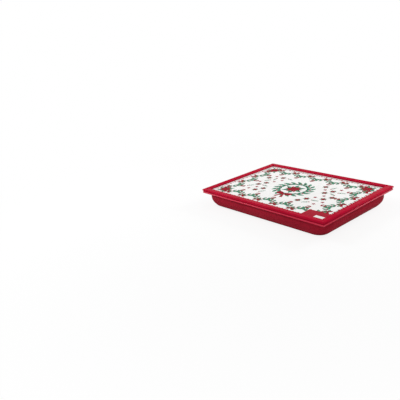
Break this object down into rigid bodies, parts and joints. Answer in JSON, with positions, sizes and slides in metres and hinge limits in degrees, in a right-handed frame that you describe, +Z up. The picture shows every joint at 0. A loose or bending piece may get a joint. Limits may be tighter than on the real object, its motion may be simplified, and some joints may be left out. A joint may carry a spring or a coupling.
{
  "type": "lap tray",
  "caption": "Rectangular lap tray: a wipe-clean printed panel in a mitred gloss rim, carried on a tapered bead-filled fabric cushion that pulls off by hook-and-loop strips.",
  "frame": {"origin": "middle of the cushion's underside, on the surface that the tray rests on", "axes": "+Z up, +X along the tray's long side, -Y towards the user"},
  "size_m": [0.42, 0.31, 0.05],
  "materials": {
    "rim": "gloss",
    "corner_nails": "satin",
    "printed_sheet": "satin",
    "panel_board": "matte",
    "backing_sheet": "matte",
    "label": "satin",
    "hook_strips": "matte",
    "loop_strips": "matte",
    "cushion_cover": "matte",
    "bead_filling": "matte"
  },
  "bodies": {
    "cushion": {"cushion_bottom_panel": "cushion_cover", "cushion_side_band": "cushion_cover", "cushion_top_panel": "cushion_cover", "bead_filling": "bead_filling", "loop_strip_left": "loop_strips", "loop_strip_right": "loop_strips"},
    "tray": {"rail_front": "rim", "rail_back": "rim", "rail_left": "rim", "rail_right": "rim", "corner_nail_front_left": "corner_nails", "corner_nail_front_right": "corner_nails", "corner_nail_back_left": "corner_nails", "corner_nail_back_right": "corner_nails", "printed_sheet": "printed_sheet", "panel_board": "panel_board", "backing_sheet": "backing_sheet", "corner_label": "label", "hook_strip_left": "hook_strips", "hook_strip_right": "hook_strips"}
  },
  "joints": [
    {"name": "tray_lift", "type": "slide", "parent": "cushion", "child": "tray", "axis": [0, 0, 1], "range_m": [0, 0.12]}
  ]
}
